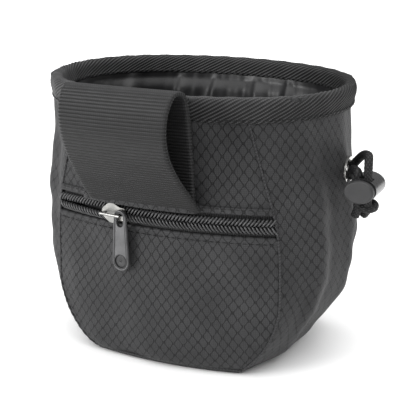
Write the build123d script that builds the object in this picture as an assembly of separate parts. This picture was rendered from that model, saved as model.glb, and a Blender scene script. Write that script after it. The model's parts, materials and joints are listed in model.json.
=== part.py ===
from build123d import *
import os
from math import asin, cos, degrees, hypot, pi, radians, sin, sqrt, tan

# Open-top treat pouch, millimetres. +Z up, the front (belt loop and zip) faces -Y,
# origin at the middle of the flat base.

# ---- pouch body: height, half width, half depth, half width of the front between its
# ---- side seams, radius of the front face
STATIONS = [
    (0.0, 39.0, 37.5, 31.8, 142.0),
    (4.0, 45.4, 40.2, 36.1, 142.0),
    (12.0, 51.2, 42.2, 42.9, 142.0),
    (24.0, 59.5, 43.6, 48.1, 142.0),
    (42.0, 65.0, 43.4, 49.1, 142.0),
    (64.0, 65.0, 43.5, 47.4, 142.0),
    (84.0, 63.0, 43.8, 42.4, 142.0),
    (104.0, 62.6, 46.0, 37.5, 110.0),
    (113.0, 63.5, 47.3, 35.6, 92.0),
]
HEIGHT = STATIONS[-1][0]
SEAM_START = 1.6          # height of the seam that joins the front to the base strip

# ---- cloth layers, as distances in from the outer surface
CLOTH = 1.2
HOOP_OUT, HOOP_IN = 1.3, 2.7
LINING_OUT, LINING_IN = 4.2, 5.0
RIM_DRAW_IN = 1.4         # the lining lies this much closer to the cloth at the rim
POCKET_OUT, POCKET_IN = 3.35, 4.0
GAP = 0.1
BINDING_T = 0.9
BINDING_H = 9.0

# ---- zip
ZIP_Z = 64.0
ZIP_WINDOW = 9.0
FACE_R = 142.0
FACE_Y = FACE_R - 43.5    # centre of the front face's arc at the zip's height
TAPE_OUT, TAPE_IN = 1.3, 1.85
TAPE_W = 12.0
COIL_H = 2.3
COIL_OUT, COIL_IN = -1.0, 1.2
COIL_GAP = 0.6
SLIDER_L, SLIDER_W = 11.0, 8.2
SLIDER_REST = -7.1        # degrees round the face's arc from its middle

# ---- slider, heights above the outer surface
PLATE_IN, PLATE_OUT = 1.3, 2.2
BACK_IN, BACK_OUT = -2.95, -2.2
BAR_R = 0.6
BAR_OUT = 4.85
TAB_IN, TAB_OUT = 2.6, 3.9
TAB_X = 4.2
TAB_TOP, TAB_LEN = 2.2, 25.0
TAB_W_TOP, TAB_W_END = 5.6, 7.6

# ---- belt loop
WEB = 1.6
LOOP_LEFT, LOOP_RIGHT = -30.5, 17.5

# ---- drawcord, its eyelet and its lock
CORD_D = 3.6
EYELET = (63.5, 2.0, 79.0)
EYELET_HOLE, EYELET_BARREL, EYELET_FLANGE = 8.3, 9.3, 11.6
CHANNEL_A, CHANNEL_B, CHANNEL_R = 53.7, 34.3, 135.0
CHANNEL_D, CHANNEL_HOLE = 7.4, 4.8
WASHER_X = -2.0           # outer side of the washer, from the eyelet
LOCK_X, LOCK_Z = 73.9, 76.2
LOCK_FACE, LOCK_FRONT, LOCK_END = -18.7, -14.8, -0.3
LOCK_RX, LOCK_RZ = 6.1, 4.7
STEM_RX, STEM_RZ = 4.75, 3.4
CORD_Y = -12.2
STRAND = 1.85
STEM_END = -7.8
BUTTON_TRAVEL = 1.5

os.makedirs("parts", exist_ok=True)


def station(z):
    """The pouch's sizes at height z, between the two stations around it."""
    z = min(max(z, 0.0), HEIGHT)
    for low, high in zip(STATIONS, STATIONS[1:]):
        if z <= high[0]:
            f = (z - low[0]) / (high[0] - low[0])
            return [a + f * (b - a) for a, b in zip(low[1:], high[1:])]


def outline(z, inset, sizes):
    """Closed wire at height z of four arcs: front, right side, back and left side."""
    half_w, half_d, seam, face_r = sizes
    back = half_d - face_r + sqrt(face_r ** 2 - seam ** 2)
    side_r = (back ** 2 + (half_w - seam) ** 2) / (2 * (half_w - seam))
    nx = seam / face_r + (seam - half_w + side_r) / side_r
    ny = (back - half_d + face_r) / face_r + back / side_r
    k = 2 * inset / (nx ** 2 + ny ** 2)
    x, y = seam - k * nx, back - k * ny
    a, b = half_w - inset, half_d - inset
    corners = [(-x, -y), (x, -y), (x, y), (-x, y)]
    tips = [(0, -b), (a, 0), (0, b), (-a, 0)]
    arcs = []
    for i, tip in enumerate(tips):
        arcs.append(ThreePointArc(corners[i], tip, corners[(i + 1) % 4]))
    return Wire(arcs).moved(Location((0, 0, z)))


def bag(inset, draw_in=0.0):
    """Solid of the whole pouch, inset from the outer surface, with its base raised.

    It runs straight up past the rim. draw_in makes the inset smaller near the rim."""
    wires = []
    for z, *sizes in STATIONS:
        level = inset + z * (HEIGHT - inset) / HEIGHT
        near_rim = draw_in if z > HEIGHT - 2 * BINDING_H else 0.0
        wires.append(outline(level, inset - near_rim, sizes))
    wires.append(outline(HEIGHT + 4, inset - near_rim, STATIONS[-1][1:]))
    return Solid.make_loft(wires)


def layer(out, inn, low, high, draw_in=0.0):
    """Part of the wall between two distances in from its surface and two heights."""
    return (bag(out, draw_in) - bag(inn, draw_in)) & slab(low, high)


def front_tool(side):
    """Prism with the front's outline between its seams, towards -Y or, for 1, +Y."""
    right = [(s[3], s[0]) for s in STATIONS[1:]]
    start = (station(SEAM_START)[2], SEAM_START)
    right = [start] + right + [(STATIONS[-1][3] - 1.5, HEIGHT + 8)]
    left = [(-x, z) for x, z in right]
    edges = [
        Spline(*right),
        Line(right[-1], left[-1]),
        Spline(*left[::-1]),
        Line(left[0], right[0]),
    ]
    face = Plane.XZ * make_face(edges)
    return extrude(face, amount=80 * -side).moved(Location((0, 2 * side, 0)))


def slab(low, high):
    return Pos(0, 0, (low + high) / 2) * Box(300, 300, high - low)


def face_band(low, high, out, inn, half_angle, middle=0.0):
    """Curved strip on the front face at the zip, between two heights and two depths."""
    r_out, r_in = FACE_R - out, FACE_R - inn
    ring = Cylinder(r_out, high - low) - Cylinder(r_in, high - low + 2)
    reach = 2 * FACE_R
    a, b = radians(middle - half_angle), radians(middle + half_angle)
    sides = [(reach * sin(t), -reach * cos(t)) for t in (a, b)]
    wedge = Polyline((0, 0), *sides, close=True)
    ring = ring & extrude(make_face(wedge), amount=high - low + 4, both=True)
    return Pos(0, FACE_Y, (low + high) / 2) * ring


def at_slider(shape):
    """From the slider's own frame (its middle on the outer surface) to its rest place."""
    place = Pos(0, FACE_Y, ZIP_Z) * Rot(0, 0, SLIDER_REST) * Pos(0, -FACE_R, 0)
    return place * shape


def plate(points, low, high):
    """Flat plate from an XZ outline, from low to high out of the cloth."""
    face = Plane.XZ * make_face(points)
    return extrude(face, amount=high - low).moved(Location((0, -low, 0)))


# ---------------------------------------------------------------- pouch body


def disc(radius, low, high):
    """Cylinder along the eyelet's axis, from low to high in X."""
    return Pos((low + high) / 2, EYELET[1], EYELET[2]) * Rot(0, 90, 0) * Cylinder(radius, high - low)


def body_panels():
    skin = layer(0.0, CLOTH, -1, HEIGHT)
    front, back = front_tool(-1), front_tool(1)
    edge = ZIP_WINDOW / 2
    face = skin & front
    x = EYELET[0]
    hole = disc(EYELET_BARREL / 2 + GAP, x - 10, x + 10)
    pressed = disc(EYELET_FLANGE / 2 + 0.3, x - 0.05, x + 10)
    pressed += disc(EYELET_FLANGE / 2 + 0.3, x - 10, x + WASHER_X)
    return {
        "front_upper_panel": face & slab(ZIP_Z + edge, HEIGHT + 2),
        "front_lower_panel": face & slab(-1, ZIP_Z - edge),
        "back_panel": skin & back,
        "gusset": skin - front - back - hole - pressed,
    }


def rim_binding():
    low, top = HEIGHT - BINDING_H, HEIGHT + GAP + BINDING_T
    inside = LINING_IN + GAP
    fold = bag(-BINDING_T - GAP) & slab(low, top)
    fold -= bag(inside + BINDING_T, RIM_DRAW_IN)
    return fold - ((bag(-GAP) - bag(inside, RIM_DRAW_IN)) & slab(low - 1, HEIGHT + GAP))


def rim_hoop():
    return layer(HOOP_OUT, HOOP_IN, HEIGHT - 8, HEIGHT - 0.3)


def lining():
    x = EYELET[0]
    return layer(LINING_OUT, LINING_IN, -1, HEIGHT, RIM_DRAW_IN) - disc(EYELET_HOLE / 2, x - 10, x)


def pocket_bag():
    """Rear cloth of the zipped pocket, hanging between the zip and the lining."""
    return layer(POCKET_OUT, POCKET_IN, 22, ZIP_Z + 12) & (Pos(0, -50, 0) * Box(76, 60, 300))


# ---------------------------------------------------------------- zip


def zip_half(side):
    """Tape and coil on one side of the zip: 1 above, -1 below."""
    span = degrees(asin(47.0 / FACE_R))
    near, far = COIL_GAP, COIL_GAP + COIL_H
    coil = [ZIP_Z + side * near, ZIP_Z + side * far]
    tape = [ZIP_Z + side * 0.4, ZIP_Z + side * (0.4 + TAPE_W)]
    front_only = Pos(0, -50, 0) * Box(91, 60, 300)
    return (
        layer(TAPE_OUT, TAPE_IN, min(tape), max(tape)) & front_only,
        face_band(min(coil), max(coil), COIL_OUT, COIL_IN, span - 0.4),
    )


def slider_outline(half_l, half_w):
    """Heart-shaped slider plate: wide and rounded to the left, narrower to the right."""
    nose, shoulder, waist = -half_l, -0.15 * half_l, 0.45 * half_l
    top = Spline((nose, 0), (0.72 * nose, 0.62 * half_w), (shoulder, half_w), (waist, 0.72 * half_w),
                 (half_l, 0.62 * half_w), tangents=[(0, 1), (1, -0.1)])
    low = Spline((nose, 0), (0.72 * nose, -0.62 * half_w), (shoulder, -half_w), (waist, -0.72 * half_w),
                 (half_l, -0.62 * half_w), tangents=[(0, -1), (1, 0.1)])
    return [top, Line((half_l, 0.62 * half_w), (half_l, -0.62 * half_w)), low]


def slider_body():
    half_l, half_w = SLIDER_L / 2, SLIDER_W / 2
    top = plate(slider_outline(half_l, half_w), PLATE_IN, PLATE_OUT)
    back = plate(slider_outline(half_l - 0.3, half_w - 0.2), BACK_IN, BACK_OUT)
    rims = plate(slider_outline(half_l, half_w), -1.0, PLATE_IN)
    inside = Box(SLIDER_L + 4, 20, 2 * (COIL_GAP + COIL_H) + 0.8)
    post = Pos(-half_l + 1.6, -(PLATE_IN + BACK_OUT) / 2, 0) * Box(2.2, PLATE_IN - BACK_OUT, 0.7)
    return at_slider(top + (rims - inside) + back + post)


def slider_bridge():
    left, right = -SLIDER_L / 2 + 1.0, TAB_X + 0.6
    bridge = Pos((left + right) / 2, -BAR_OUT, 0) * Rot(0, 90, 0) * Cylinder(BAR_R, right - left)
    leg_h = BAR_OUT - PLATE_OUT
    for x in (left + BAR_R, right - BAR_R):
        bridge += Pos(x, -PLATE_OUT - leg_h / 2, 0) * Rot(90, 0, 0) * Cylinder(BAR_R, leg_h)
    return at_slider(bridge)


def pull_tab():
    low = TAB_TOP - TAB_LEN
    a, b = TAB_W_TOP / 2, TAB_W_END / 2
    body = [
        ThreePointArc((-a, TAB_TOP - a), (0, TAB_TOP), (a, TAB_TOP - a)),
        Line((a, TAB_TOP - a), (b, low + b)),
        ThreePointArc((b, low + b), (0, low), (-b, low + b)),
        Line((-b, low + b), (-a, TAB_TOP - a)),
    ]
    tab = plate(body, TAB_IN, TAB_OUT)
    tab = fillet(tab.edges().filter_by(GeomType.CIRCLE), 0.35)
    eye_len, eye_w = 5.8, 3.2
    slot = Pos(0, TAB_TOP - 1.2 - eye_len / 2) * Rot(0, 0, 90) * SlotOverall(eye_len, eye_w)
    eye = extrude(Plane.XZ * slot, amount=9, both=True)
    recess = Pos(0, -TAB_OUT, low + b) * Rot(90, 0, 0) * Cylinder(2.8, 0.8)
    return at_slider(Pos(TAB_X, 0, 0) * (tab - eye - recess))


# ---------------------------------------------------------------- belt loop


def belt_loop():
    """Wide webbing: up the front, over at the rim and down again to the same seam."""
    middle = [(-44.9, 70.0), (-45.6, 84.0), (-48.2, 100.0), (-49.9, 109.0), (-53.2, 115.6), (-58.6, 116.2),
              (-63.6, 111.0), (-65.2, 103.0), (-63.4, 94.5), (-58.2, 85.5), (-51.6, 77.0), (-46.8, 71.2)]
    path = Plane.YZ * Spline(*middle)
    outer, inner = [], []
    for i in range(len(middle)):
        t = i / (len(middle) - 1)
        point, along = path @ t, path % t
        across = Vector(0, -along.Z, along.Y) * (WEB / 2)
        outer.append(point + across)
        inner.append(point - across)
    ring = [Spline(*outer), Line(outer[-1], inner[-1]), Spline(*inner[::-1]), Line(inner[0], outer[0])]
    web = extrude(Face(Wire(ring)), amount=LOOP_RIGHT - LOOP_LEFT, dir=(1, 0, 0))
    sewn = Pos((LOOP_RIGHT - LOOP_LEFT) / 2, -43.4, 70.2) * Box(LOOP_RIGHT - LOOP_LEFT, 6.4, 3.0)
    loop = Pos(LOOP_LEFT, 0, 0) * (web + sewn)
    rim = bag(-BINDING_T - 2 * GAP) & slab(HEIGHT - BINDING_H - 0.3, HEIGHT + 2)
    return loop - bag(-GAP) - rim


# ---------------------------------------------------------------- drawcord


def oval_path(a, b, r):
    """Closed oval of four tangent arcs: half width a, half depth b, front radius r."""
    cx = (a - b) * (2 * r - a - b) / (2 * (r - a))
    cy = r - b
    ux, uy = cx / hypot(cx, cy), cy / hypot(cx, cy)
    x, y = r * ux, r * uy - cy
    arcs = [
        ThreePointArc((-x, -y), (0, -b), (x, -y)),
        ThreePointArc((x, -y), (a, 0), (x, y)),
        ThreePointArc((x, y), (0, b), (-x, y)),
        ThreePointArc((-x, y), (-a, 0), (-x, -y)),
    ]
    return Wire(arcs)


def round_sweep(path, diameter):
    start = Plane(origin=path @ 0, z_dir=path % 0)
    return sweep(start * Circle(diameter / 2), path=path)


def drawcord_leads():
    """The cord's two ends, one above the other, from the channel to the eyelet."""
    leads = []
    for side in (-1, 1):
        x = (CHANNEL_A + EYELET[0] - 1.8) / 2
        run = EYELET[0] - 1.8 - CHANNEL_A
        leads.append(Pos(x, EYELET[1], EYELET[2] + side * STRAND) * Rot(0, 90, 0) * Cylinder(CORD_D / 2, run))
    return leads


def drawcord_channel():
    path = oval_path(CHANNEL_A, CHANNEL_B, CHANNEL_R).moved(Location((0, 0, EYELET[2])))
    sleeve = round_sweep(path, CHANNEL_D) - round_sweep(path, CHANNEL_HOLE)
    mouth = Pos(EYELET[0] - 7, EYELET[1], EYELET[2]) * Rot(0, 90, 0) * Cylinder(4.3, 8)
    return sleeve - mouth


def drawcord_in_channel():
    path = oval_path(CHANNEL_A, CHANNEL_B, CHANNEL_R).moved(Location((0, 0, EYELET[2])))
    loop = round_sweep(path, CORD_D)
    for lead in drawcord_leads():
        loop = loop + lead
    return loop


def route(name, points):
    """Cord tube: straight runs joined by the largest arcs that the runs allow."""
    points = [Vector(*p) for p in points]
    radii = []
    for a, b, c in zip(points, points[1:], points[2:]):
        turn = (b - a).get_angle(c - b)
        radii.append(0.45 * min((b - a).length, (c - b).length) / tan(radians(turn / 2)))
    path = FilletPolyline(*points, radius=radii)
    tube = round_sweep(path, CORD_D)
    section = pi * CORD_D ** 2 / 4
    print(name, "length", round(path.length, 1), "volume ratio", round(tube.volume / section / path.length, 4),
          "radii", [round(r, 1) for r in radii])
    return tube


UPPER_ROUTE = [(64.9, 2.0, 80.85), (67.6, 1.8, 84.3), (70.8, -2.4, 87.3), (74.6, -8.2, 88.8),
               (75.6, -11.6, 87.2), (75.75, -12.2, 83.5), (75.75, -12.2, 70.3), (75.4, -9.0, 67.2),
               (73.2, -7.6, 64.6)]
LOWER_ROUTE = [(64.9, 2.0, 77.15), (66.4, 0.7, 77.4), (66.6, -3.6, 80.4), (68.5, -8.0, 82.4),
               (71.5, -11.8, 82.9), (72.05, -12.2, 80.8), (72.05, -12.2, 70.3), (72.0, -11.6, 67.4),
               (70.8, -10.9, 64.8)]


def knot(strands):
    """Overhand knot that ties the two strands, as one rounded mass round them."""
    mass = Pos(74.6, -8.8, 67.9) * scale(Sphere(1.0), by=(5.0, 4.6, 3.3))
    for strand in strands:
        mass = mass - strand
    return max(mass.solids(), key=lambda s: s.volume)


def oval(rx, rz, low, high):
    """Bar of oval section along the lock's axis, from low to high in Y."""
    face = Plane.XZ * Ellipse(rx, rz)
    return Pos(LOCK_X, low, LOCK_Z) * extrude(face, amount=-(high - low))


def cord_lock_body():
    barrel = oval(LOCK_RX, LOCK_RZ, LOCK_FRONT, LOCK_END)
    barrel = fillet(barrel.edges().sort_by(Axis.Y)[-1], 1.8)
    bore = oval(STEM_RX + 0.1, STEM_RZ + 0.1, LOCK_FRONT - 1, LOCK_END - 1.7)
    slot = Pos(LOCK_X, CORD_Y, LOCK_Z) * Box(2 * (STRAND + CORD_D / 2) + 0.4, CORD_D + 0.4, 14)
    return barrel - bore - slot


def cord_lock_button():
    head = oval(LOCK_RX - 0.2, LOCK_RZ - 0.2, LOCK_FACE, LOCK_FRONT - BUTTON_TRAVEL - 0.1)
    head = fillet(head.edges().sort_by(Axis.Y)[0], 0.8)
    stem = oval(STEM_RX, STEM_RZ, LOCK_FRONT - BUTTON_TRAVEL - 0.1, STEM_END)
    low, high = CORD_Y - CORD_D / 2 - BUTTON_TRAVEL - 0.3, CORD_Y + CORD_D / 2 + 0.2
    window = Pos(LOCK_X, (low + high) / 2, LOCK_Z) * Box(2 * (STRAND + CORD_D / 2) + 0.5, high - low, 14)
    return head + stem - window


def cord_lock_spring():
    length = LOCK_END - 1.7 - STEM_END - 0.5
    path = Helix(pitch=1.4, height=length - 0.7, radius=2.4)
    wire = sweep(Plane(origin=path @ 0, z_dir=path % 0) * Circle(0.3), path=path)
    return Pos(LOCK_X, STEM_END + 0.55, LOCK_Z) * Rot(-90, 0, 0) * wire


# ---------------------------------------------------------------- eyelet


def eyelet():
    x = EYELET[0]
    flange = disc(EYELET_FLANGE / 2, x, x + 0.8) - disc(EYELET_HOLE / 2, x - 1, x + 2)
    flange = fillet(flange.edges().filter_by(GeomType.CIRCLE).sort_by(Axis.X)[-1], 0.3)
    return flange + (disc(EYELET_BARREL / 2, x - 2.7, x) - disc(EYELET_HOLE / 2, x - 3, x + 1))


def eyelet_washer():
    x = EYELET[0] + WASHER_X - 0.05
    return disc(EYELET_FLANGE / 2, x - 0.6, x) - disc(EYELET_BARREL / 2 + 0.02, x - 1, x + 1)


def build():
    nodes = body_panels()
    nodes["rim_binding"] = rim_binding()
    nodes["rim_hoop"] = rim_hoop()
    nodes["inner_lining"] = lining()
    nodes["zip_pocket_bag"] = pocket_bag()
    nodes["zip_tape_upper"], nodes["zip_coil_upper"] = zip_half(1)
    nodes["zip_tape_lower"], nodes["zip_coil_lower"] = zip_half(-1)
    nodes["slider_body"] = slider_body()
    nodes["slider_bridge"] = slider_bridge()
    nodes["pull_tab"] = pull_tab()
    nodes["belt_loop"] = belt_loop()
    nodes["eyelet"] = eyelet()
    nodes["eyelet_washer"] = eyelet_washer()
    nodes["drawcord_channel"] = drawcord_channel()
    nodes["drawcord_in_channel"] = drawcord_in_channel()
    nodes["drawcord_strand_upper"] = route("upper strand", UPPER_ROUTE)
    nodes["drawcord_strand_lower"] = route("lower strand", LOWER_ROUTE)
    nodes["cord_knot"] = knot([nodes["drawcord_strand_upper"], nodes["drawcord_strand_lower"]])
    nodes["cord_lock_body"] = cord_lock_body()
    nodes["cord_lock_button"] = cord_lock_button()
    nodes["cord_lock_spring"] = cord_lock_spring()
    for name, shape in nodes.items():
        export_step(shape, "parts/" + name + ".step")


build()
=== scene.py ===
import json
from math import cos, pi, radians, sin

import bpy
import numpy as np
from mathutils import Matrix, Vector


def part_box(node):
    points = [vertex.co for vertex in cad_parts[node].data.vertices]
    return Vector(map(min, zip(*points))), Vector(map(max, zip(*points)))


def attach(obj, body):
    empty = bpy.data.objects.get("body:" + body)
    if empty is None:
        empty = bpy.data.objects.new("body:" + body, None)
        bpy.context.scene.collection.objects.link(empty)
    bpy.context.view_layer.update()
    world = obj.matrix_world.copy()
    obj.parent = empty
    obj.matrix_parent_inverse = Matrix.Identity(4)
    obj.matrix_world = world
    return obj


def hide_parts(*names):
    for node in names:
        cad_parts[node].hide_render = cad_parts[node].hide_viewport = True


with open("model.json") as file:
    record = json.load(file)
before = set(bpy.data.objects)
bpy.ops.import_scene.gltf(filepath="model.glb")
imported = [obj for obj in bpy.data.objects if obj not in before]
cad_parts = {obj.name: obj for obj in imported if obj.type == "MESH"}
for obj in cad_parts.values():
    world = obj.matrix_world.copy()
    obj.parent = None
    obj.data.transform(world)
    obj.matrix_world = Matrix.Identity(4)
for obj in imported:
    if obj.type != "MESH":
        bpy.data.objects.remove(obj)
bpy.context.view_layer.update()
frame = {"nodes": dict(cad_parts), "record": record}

# Open-top cloth treat pouch. Sizes are millimetres until a mesh is made, in the frame's
# own axes: +Z is up, and the front with the belt loop and the zip faces -Y.

MM = 0.001

# ---- wall: height, half width, half depth, half width of the front between its seams, and
# ---- the radius of the front face
STATIONS = np.array([
    (0.0, 39.0, 37.5, 31.8, 142.0),
    (4.0, 45.4, 40.2, 36.1, 142.0),
    (12.0, 51.2, 42.2, 42.9, 142.0),
    (24.0, 59.5, 43.6, 48.1, 142.0),
    (42.0, 65.0, 43.4, 49.1, 142.0),
    (64.0, 65.0, 43.5, 47.4, 142.0),
    (84.0, 63.0, 43.8, 42.4, 142.0),
    (104.0, 62.6, 46.0, 37.5, 110.0),
    (113.0, 63.5, 47.3, 35.6, 92.0),
])
HEIGHT = 113.0
BASE_SEAM = 1.6           # height of the seam between the front and the base strip
CLOTH = 0.9               # thickness of the outer cloth with its coating
RIM_LOW = 104.0           # lower edge of the binding
LINING = 5.0              # how far in the lining hangs from the outer surface
RIM_LINING = 3.6          # and at the rim, under the binding
STITCH = 2.6              # pitch of the sewing

RIB_PITCH = 1.2           # of the binding tape
RIB_SLOPE = radians(63)   # its ribs rise to the right, 27 degrees from the rim's own line

# ---- zip
ZIP_Z = 64.0
ZIP_R = 142.0             # radius of the front along the zip
ZIP_FACE = 43.5           # how far the zip's middle stands in front of the pouch's axis
WINDOW = 4.5              # half the height of the opening between the two folds
COIL_PITCH = 1.49
SLIDER_TURN = radians(-7.1)
SLIDER_X = -17.5          # the same place, as a distance round the front
ZIP_END = 48.0            # half the length of the chain, round the front

# ---- pull tab, in the slider's own frame
TAB_X, TAB_TOP, TAB_LEN = 4.2, 2.2, 25.0
TAB_TOP_R, TAB_END_R = 2.8, 3.8
TAB_FACE = -3.9
SPOT_R = 2.75             # radius of the enamelled spot in the tab's round end

# ---- belt loop
LOOP_LEFT, LOOP_RIGHT = -30.5, 17.5
WEB = 1.6                 # thickness of the webbing
WEB_RIB = 1.3             # repeat of its ribs
LOOP_LINE = [             # y and z of its middle, from the foot at the wall, over and down
    (-44.6, 69.6), (-45.6, 84.0), (-48.2, 100.0), (-49.9, 109.0), (-53.2, 115.6),
    (-58.6, 116.2), (-63.6, 111.0), (-65.2, 103.0), (-63.4, 94.5), (-58.2, 85.5),
    (-51.6, 77.0), (-46.3, 69.8),
]

# ---- drawcord
CORD_D = 3.6
CORD_SLEEVE = 3.1         # radius of the sleeve it runs in
KNOT = (74.6, -8.9, 67.7)
KNOT_TURNS = 1.32
LEAD_END = 61.7           # x where the hidden cord stops, behind the eyelet
CORD_STEP = 0.35          # how closely cords and thin lines are read, to show the braid
UPPER_ROUTE = [
    (64.9, 2.0, 80.85), (67.6, 1.8, 84.3), (70.8, -2.4, 87.3), (74.6, -8.2, 88.8),
    (75.6, -11.6, 87.2), (75.75, -12.2, 83.5), (75.75, -12.2, 70.3), (75.4, -9.0, 67.2),
    (73.2, -7.6, 64.6),
]
LOWER_ROUTE = [
    (64.9, 2.0, 77.15), (66.4, 0.7, 77.4), (66.6, -3.6, 80.4), (68.5, -8.0, 82.4),
    (71.5, -11.8, 82.9), (72.05, -12.2, 80.8), (72.05, -12.2, 70.3), (72.0, -11.6, 67.4),
    (70.8, -10.9, 64.8),
]


# ------------------------------------------------------------------ camera and light

def look_at(obj, target):
    """Turns a camera or a light, which look along their own -Z, towards a target."""
    direction = Vector(target) - obj.location
    obj.rotation_euler = direction.to_track_quat("-Z", "Y").to_euler()


def camera():
    """Long lens from the front, a little to the right and above."""
    data = bpy.data.cameras.new("camera")
    data.sensor_width = 36.0
    data.lens = 97.2
    obj = bpy.data.objects.new("camera", data)
    bpy.context.collection.objects.link(obj)
    obj.location = (0.1902, -0.4155, 0.1939)
    look_at(obj, (0.00258, 0.00116, 0.05605))
    bpy.context.scene.camera = obj


def soft_box(name, place, target, size, watts):
    """Round area light."""
    data = bpy.data.lights.new(name, "AREA")
    data.shape = "DISK"
    data.size = size
    data.energy = watts
    obj = bpy.data.objects.new(name, data)
    bpy.context.collection.objects.link(obj)
    obj.location = place
    look_at(obj, target)


def studio():
    """Key light at the front left, weak fill at the right, and a broad light overhead."""
    world = bpy.data.worlds.new("studio")
    world.use_nodes = True
    world.node_tree.nodes["Background"].inputs["Color"].default_value = (1, 1, 1, 1)
    world.node_tree.nodes["Background"].inputs["Strength"].default_value = 0.3
    bpy.context.scene.world = world
    bpy.context.scene.view_settings.view_transform = "Standard"
    middle = (0, 0, 0.06)
    soft_box("key_light", (-0.62, -0.8, 0.26), middle, 0.4, 8.0)
    soft_box("side_light", (0.95, 0.3, 0.2), middle, 0.3, 1.0)
    overhead = bpy.data.lights.new("overhead_light", "SUN")
    overhead.energy = 4.3
    overhead.angle = radians(100)
    obj = bpy.data.objects.new("overhead_light", overhead)
    bpy.context.collection.objects.link(obj)
    obj.location = (0.1, -0.15, 1.2)
    look_at(obj, middle)


# ------------------------------------------------------------------ materials

def linear(code):
    """sRGB hex colour as linear red, green, blue and alpha."""
    parts = [int(code[i:i + 2], 16) / 255 for i in (1, 3, 5)]
    return [c / 12.92 if c <= 0.04045 else ((c + 0.055) / 1.055) ** 2.4 for c in parts] + [1.0]


def node(tree, kind, links=(), **settings):
    """Adds a shader node. links pairs an input with a socket or a value."""
    made = tree.nodes.new(kind)
    for name, value in settings.items():
        setattr(made, name, value)
    for key, value in dict(links).items():
        if isinstance(value, bpy.types.NodeSocket):
            tree.links.new(value, made.inputs[key])
        else:
            made.inputs[key].default_value = value
    return made


def new_material(name, **sockets):
    """Material with its Principled shader's own sockets set. Returns material, tree, shader."""
    made = bpy.data.materials.new(name)
    made.use_nodes = True
    shader = made.node_tree.nodes["Principled BSDF"]
    for key, value in sockets.items():
        shader.inputs[key.replace("_", " ")].default_value = value
    return made, made.node_tree, shader


def ramp(tree, factor, stops):
    """Colour ramp from pairs of place and hex colour."""
    made = node(tree, "ShaderNodeValToRGB", {"Fac": factor})
    elements = made.color_ramp.elements
    while len(elements) < len(stops):
        elements.new(0.5)
    for element, (place, code) in zip(elements, stops):
        element.position = place
        element.color = linear(code)
    return made.outputs["Color"]


def maths(tree, operation, *values, **settings):
    """Result of one step of arithmetic on sockets or numbers."""
    links = {i: value for i, value in enumerate(values)}
    return node(tree, "ShaderNodeMath", links, operation=operation, **settings).outputs[0]


def bump(tree, shader, height, strength, depth):
    """Makes a shader's surface uneven, depth metres where height goes from 0 to 1."""
    links = {"Height": height, "Strength": strength, "Distance": depth}
    made = node(tree, "ShaderNodeBump", links)
    tree.links.new(made.outputs["Normal"], shader.inputs["Normal"])


def noise(tree, vector, scale, detail=3.0, roughness=0.5):
    """Soft random values, scale of them to a unit of the vector."""
    links = {"Vector": vector, "Scale": scale, "Detail": detail, "Roughness": roughness}
    return node(tree, "ShaderNodeTexNoise", links).outputs["Fac"]


def stripes(tree, vector, period, direction="X"):
    """Sine bands whose period is in the vector's own units."""
    links = {"Vector": vector, "Scale": 2 * pi / (20 * period), "Distortion": 0.0, "Detail": 0.0}
    made = node(tree, "ShaderNodeTexWave", links, wave_type="BANDS", bands_direction=direction)
    return made.outputs["Fac"]


CELL_W, CELL_H = 4.2, 5.3     # repeat of the raised diamond grid, millimetres
CELL_ROUND = 0.11             # how far the outlines keep apart where four cells meet
LINE_W = 0.36                 # width of the dark outline, against the cells' slope


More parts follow.
